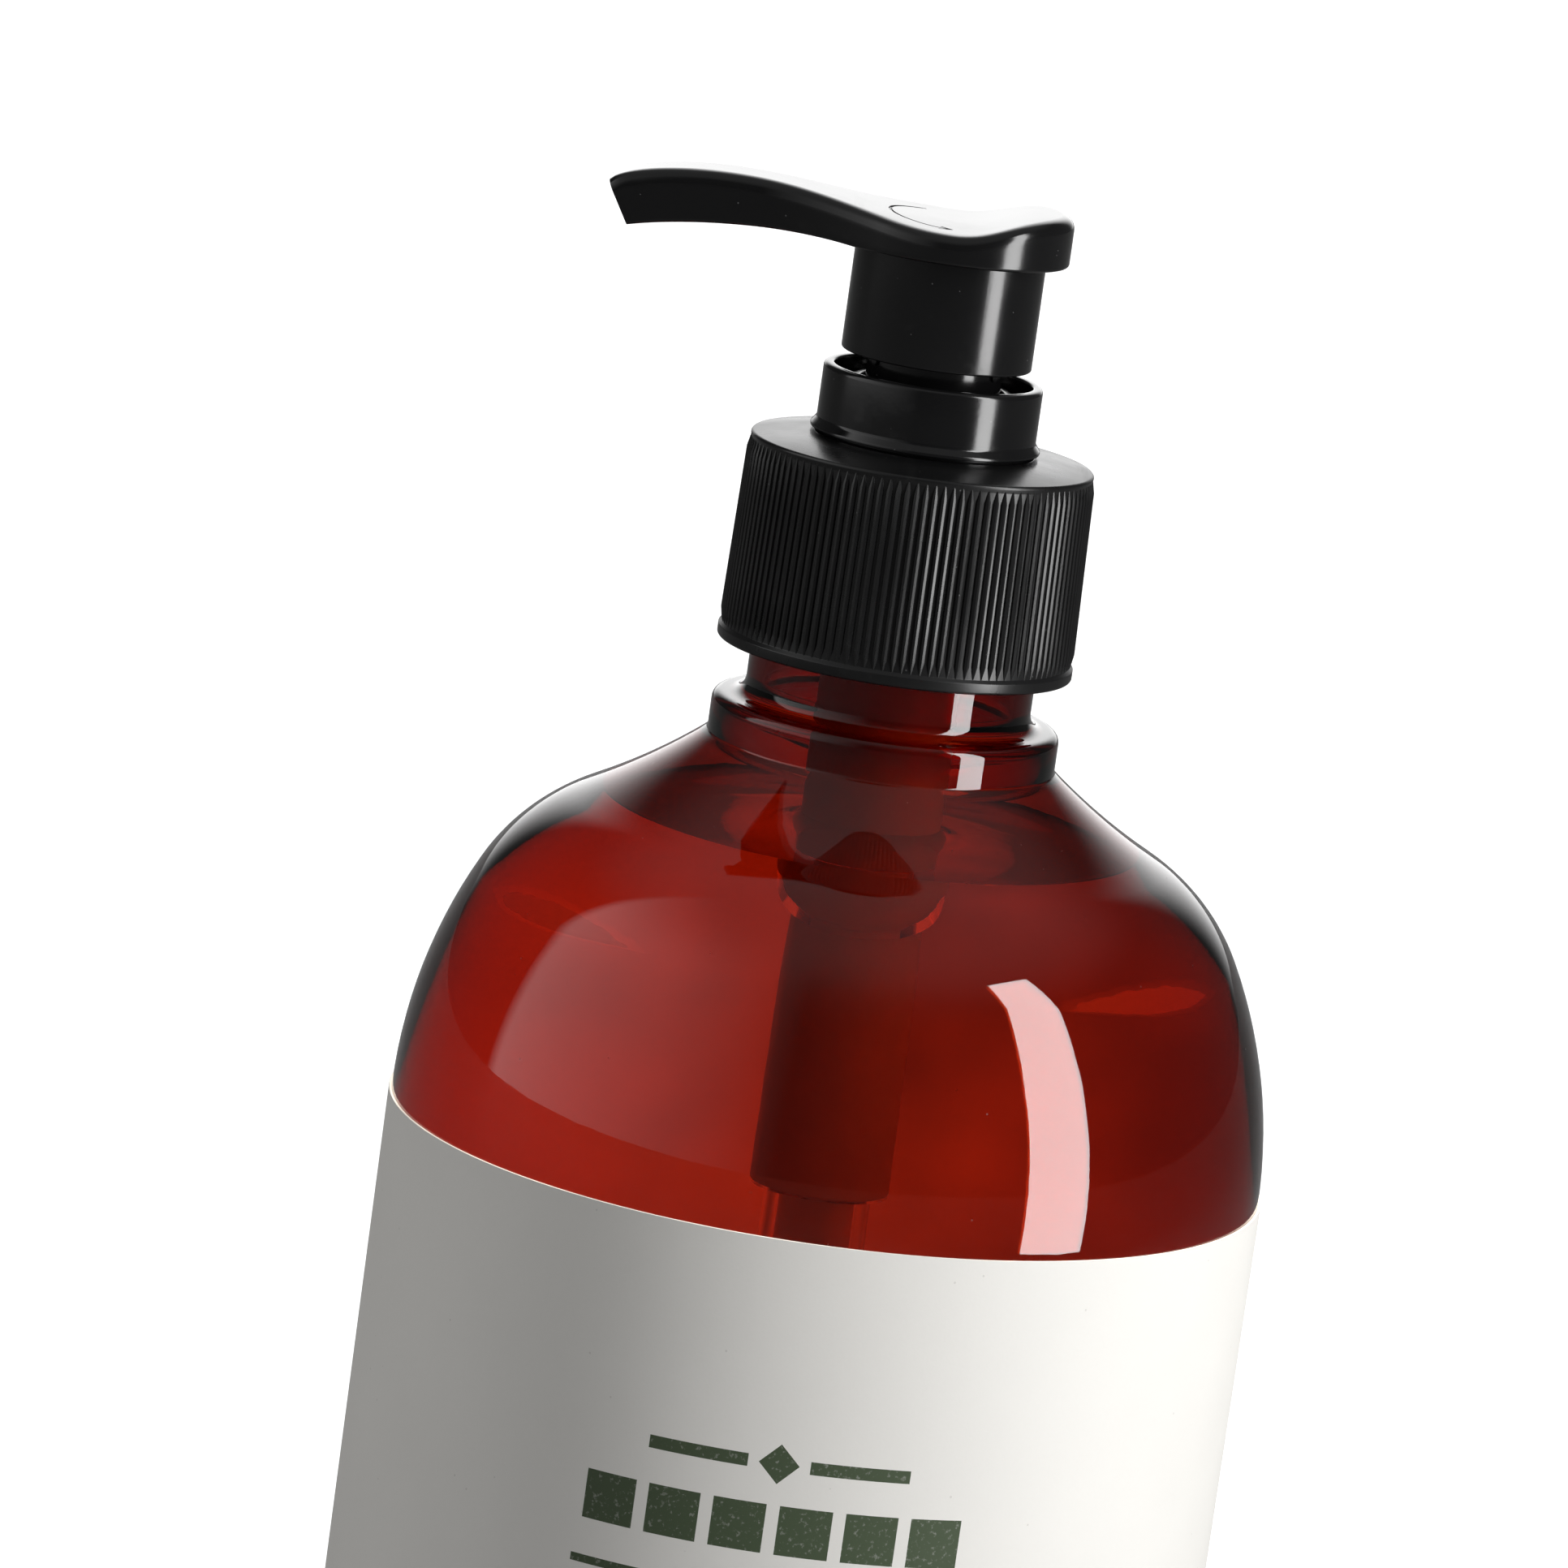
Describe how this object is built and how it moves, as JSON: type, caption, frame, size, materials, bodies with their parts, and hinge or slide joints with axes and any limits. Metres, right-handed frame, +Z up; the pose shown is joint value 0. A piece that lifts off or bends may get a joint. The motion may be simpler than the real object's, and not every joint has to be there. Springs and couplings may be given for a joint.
{
  "type": "soap pump dispenser",
  "caption": "Round-shouldered amber bottle with a screw-on hand pump that lifts and doses liquid soap through a side spout.",
  "frame": {"origin": "centre of the bottle's base, on the bottle's axis, at the height it stands on", "axes": "+Z up along the axis of bottle and pump; the spout points along -X"},
  "size_m": [0.0754, 0.0754, 0.1808],
  "materials": {
    "amber_plastic": "clear dark amber blown plastic, high gloss",
    "label_paper": "uncoated warm white label stock",
    "soap": "clear liquid",
    "black_satin_plastic": "moulded black, satin",
    "black_gloss_plastic": "moulded black, glossy",
    "gasket_foam": "foamed sealing disc",
    "natural_plastic": "milky translucent moulding",
    "seal_plastic": "soft moulding",
    "spring_steel": "drawn stainless wire",
    "ball_glass": "polished"
  },
  "bodies": {
    "bottle": {"bottle": "amber_plastic", "label": "label_paper", "liquid_soap": "soap"},
    "pump_body": {"pump_housing": "natural_plastic", "locking_collar": "black_gloss_plastic", "neck_gasket": "gasket_foam", "dip_tube": "natural_plastic", "ball_cage": "natural_plastic", "return_spring": "spring_steel"},
    "closure": {"screw_closure": "black_satin_plastic"},
    "piston": {"piston_seal": "seal_plastic"},
    "head": {"actuator_head": "black_gloss_plastic", "piston_stem": "natural_plastic", "stem_plug": "natural_plastic"},
    "inlet_ball": {"inlet_check_ball": "ball_glass"},
    "outlet_ball": {"outlet_check_ball": "ball_glass"}
  },
  "joints": [
    {"name": "pump_lift", "type": "slide", "parent": "bottle", "child": "pump_body", "axis": [0, 0, 1], "range_m": [0, 0.00635]},
    {"name": "closure_turn", "type": "hinge", "parent": "pump_body", "child": "closure", "pos_m": [0, 0, 0.15], "axis": [0, 0, 1], "range_deg": [0, 540]},
    {"name": "press", "type": "slide", "parent": "pump_body", "child": "piston", "axis": [0, 0, 1], "range_m": [-0.0095, 0], "stiffness_N_per_m": 600, "springref_m": 0.008, "deforming": ["return_spring"]},
    {"name": "head_turn", "type": "hinge", "parent": "piston", "child": "head", "pos_m": [0, 0, 0.17], "axis": [0, 0, 1], "range_deg": [0, 90]},
    {"name": "inlet_ball_lift", "type": "slide", "parent": "pump_body", "child": "inlet_ball", "axis": [0, 0, 1], "range_m": [0, 0.002]},
    {"name": "outlet_ball_lift", "type": "slide", "parent": "head", "child": "outlet_ball", "axis": [0, 0, 1], "range_m": [0, 0.0012]}
  ],
  "couplings": [
    {"joint": "pump_lift", "follows": "closure_turn", "m_per_rad": 0.0006737}
  ]
}
